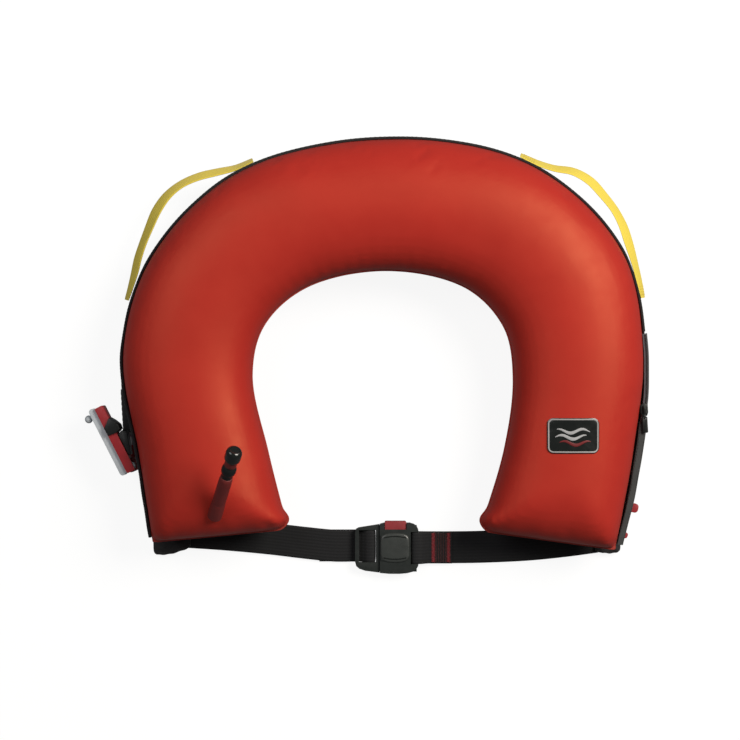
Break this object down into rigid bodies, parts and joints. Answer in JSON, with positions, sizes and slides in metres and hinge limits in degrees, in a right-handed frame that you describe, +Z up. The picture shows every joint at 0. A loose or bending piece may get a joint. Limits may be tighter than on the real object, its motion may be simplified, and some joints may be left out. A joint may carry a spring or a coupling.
{
  "type": "inflatable life jacket",
  "caption": "Inflated horseshoe life jacket in an opened cover, with grab handles, a gas inflator, a leaning mouth tube and a push-button waist belt.",
  "frame": {"origin": "middle of the whole object's box, on the ground it lies on", "axes": "+Z up from the ground, through the side that faces away from the wearer; +Y towards the crown of the horseshoe; +X towards the belt's fixed side"},
  "size_m": [0.6723, 0.525, 0.182],
  "materials": {
    "bladder_nylon": "satin coated nylon, welded",
    "cover_nylon": "matte woven nylon",
    "belt_webbing": "ribbed webbing",
    "grey_tape": "woven tape and zip coil",
    "handle_webbing": "yellow woven webbing",
    "black_plastic": "moulded nylon",
    "gloss_plastic": "glossy moulded plastic",
    "red_plastic": "moulded plastic",
    "grey_plastic": "moulded plastic",
    "red_hose": "soft moulded hose",
    "steel": "plated steel"
  },
  "bodies": {
    "root": {"bladder": "bladder_nylon", "cover_back": "cover_nylon", "cover_wall": "cover_nylon", "cover_binding": "belt_webbing", "cover_side_band": "grey_tape", "cover_end_left": "cover_nylon", "cover_end_right": "cover_nylon", "zip_coil": "grey_tape", "handle_left": "handle_webbing", "handle_right": "handle_webbing", "badge_patch": "gloss_plastic", "oral_tube_base": "red_hose", "oral_tube": "red_hose", "valve_body": "black_plastic", "cap_retainer": "black_plastic", "valve_spring": "steel", "manifold_boss": "black_plastic", "inflator_body": "red_plastic", "inflator_clamp": "black_plastic", "cylinder_sleeve": "cover_nylon", "buckle_housing": "black_plastic", "button_spring": "steel", "belt_right": "belt_webbing", "fixing_tab_upper": "red_plastic", "fixing_tab_lower": "red_plastic"},
    "zip_runner": {"zip_slider": "black_plastic"},
    "zip_tab": {"zip_pull": "black_plastic"},
    "belt_tongue": {"buckle_tongue": "black_plastic", "belt_left": "belt_webbing"},
    "button": {"release_button": "red_plastic"},
    "lever": {"pull_lever": "grey_plastic", "lever_shaft": "steel"},
    "piercing_pin": {"firing_pin": "steel"},
    "gas_bottle": {"co2_cylinder": "steel"},
    "mouth_cap": {"dust_cap": "gloss_plastic"},
    "mouth_valve": {"valve_poppet": "grey_plastic"}
  },
  "joints": [
    {"name": "tongue_release", "type": "slide", "parent": "root", "child": "belt_tongue", "axis": [-1, 0, 0], "range_m": [0, 0.03]},
    {"name": "button_press", "type": "slide", "parent": "root", "child": "button", "axis": [0, -1, 0], "range_m": [0, 0.0035], "stiffness_N_per_m": 300, "springref_m": -0.002, "deforming": ["button_spring"]},
    {"name": "lever_pull", "type": "hinge", "parent": "root", "child": "lever", "pos_m": [-0.27867, -0.12971, 0.046], "axis": [0, 0, 1], "range_deg": [0, 70]},
    {"name": "pin_strike", "type": "slide", "parent": "root", "child": "piercing_pin", "axis": [-0.0593, 0.9982, 0], "range_m": [0, 0.00145]},
    {"name": "bottle_turn", "type": "hinge", "parent": "root", "child": "gas_bottle", "pos_m": [-0.28223, -0.06981, 0.013], "axis": [-0.0593, 0.9982, 0], "continuous": true},
    {"name": "cap_pull", "type": "slide", "parent": "root", "child": "mouth_cap", "axis": [0.2543, 0.6862, 0.6814], "range_m": [0, 0.014]},
    {"name": "valve_press", "type": "slide", "parent": "root", "child": "mouth_valve", "axis": [-0.2543, -0.6862, -0.6814], "range_m": [0, 0.003], "stiffness_N_per_m": 150, "springref_m": -0.002, "deforming": ["valve_spring"]},
    {"name": "zip_run", "type": "slide", "parent": "root", "child": "zip_runner", "axis": [0.064, 0.9979, 0], "range_m": [0, 0.065]},
    {"name": "zip_tab_swing", "type": "hinge", "parent": "zip_runner", "child": "zip_tab", "pos_m": [0.33295, -0.07136, 0.0626], "axis": [-0.9984, -0.0567, 0], "range_deg": [0, 90]}
  ],
  "couplings": [
    {"joint": "pin_strike", "follows": "lever_pull", "m_per_rad": 0.001186}
  ]
}
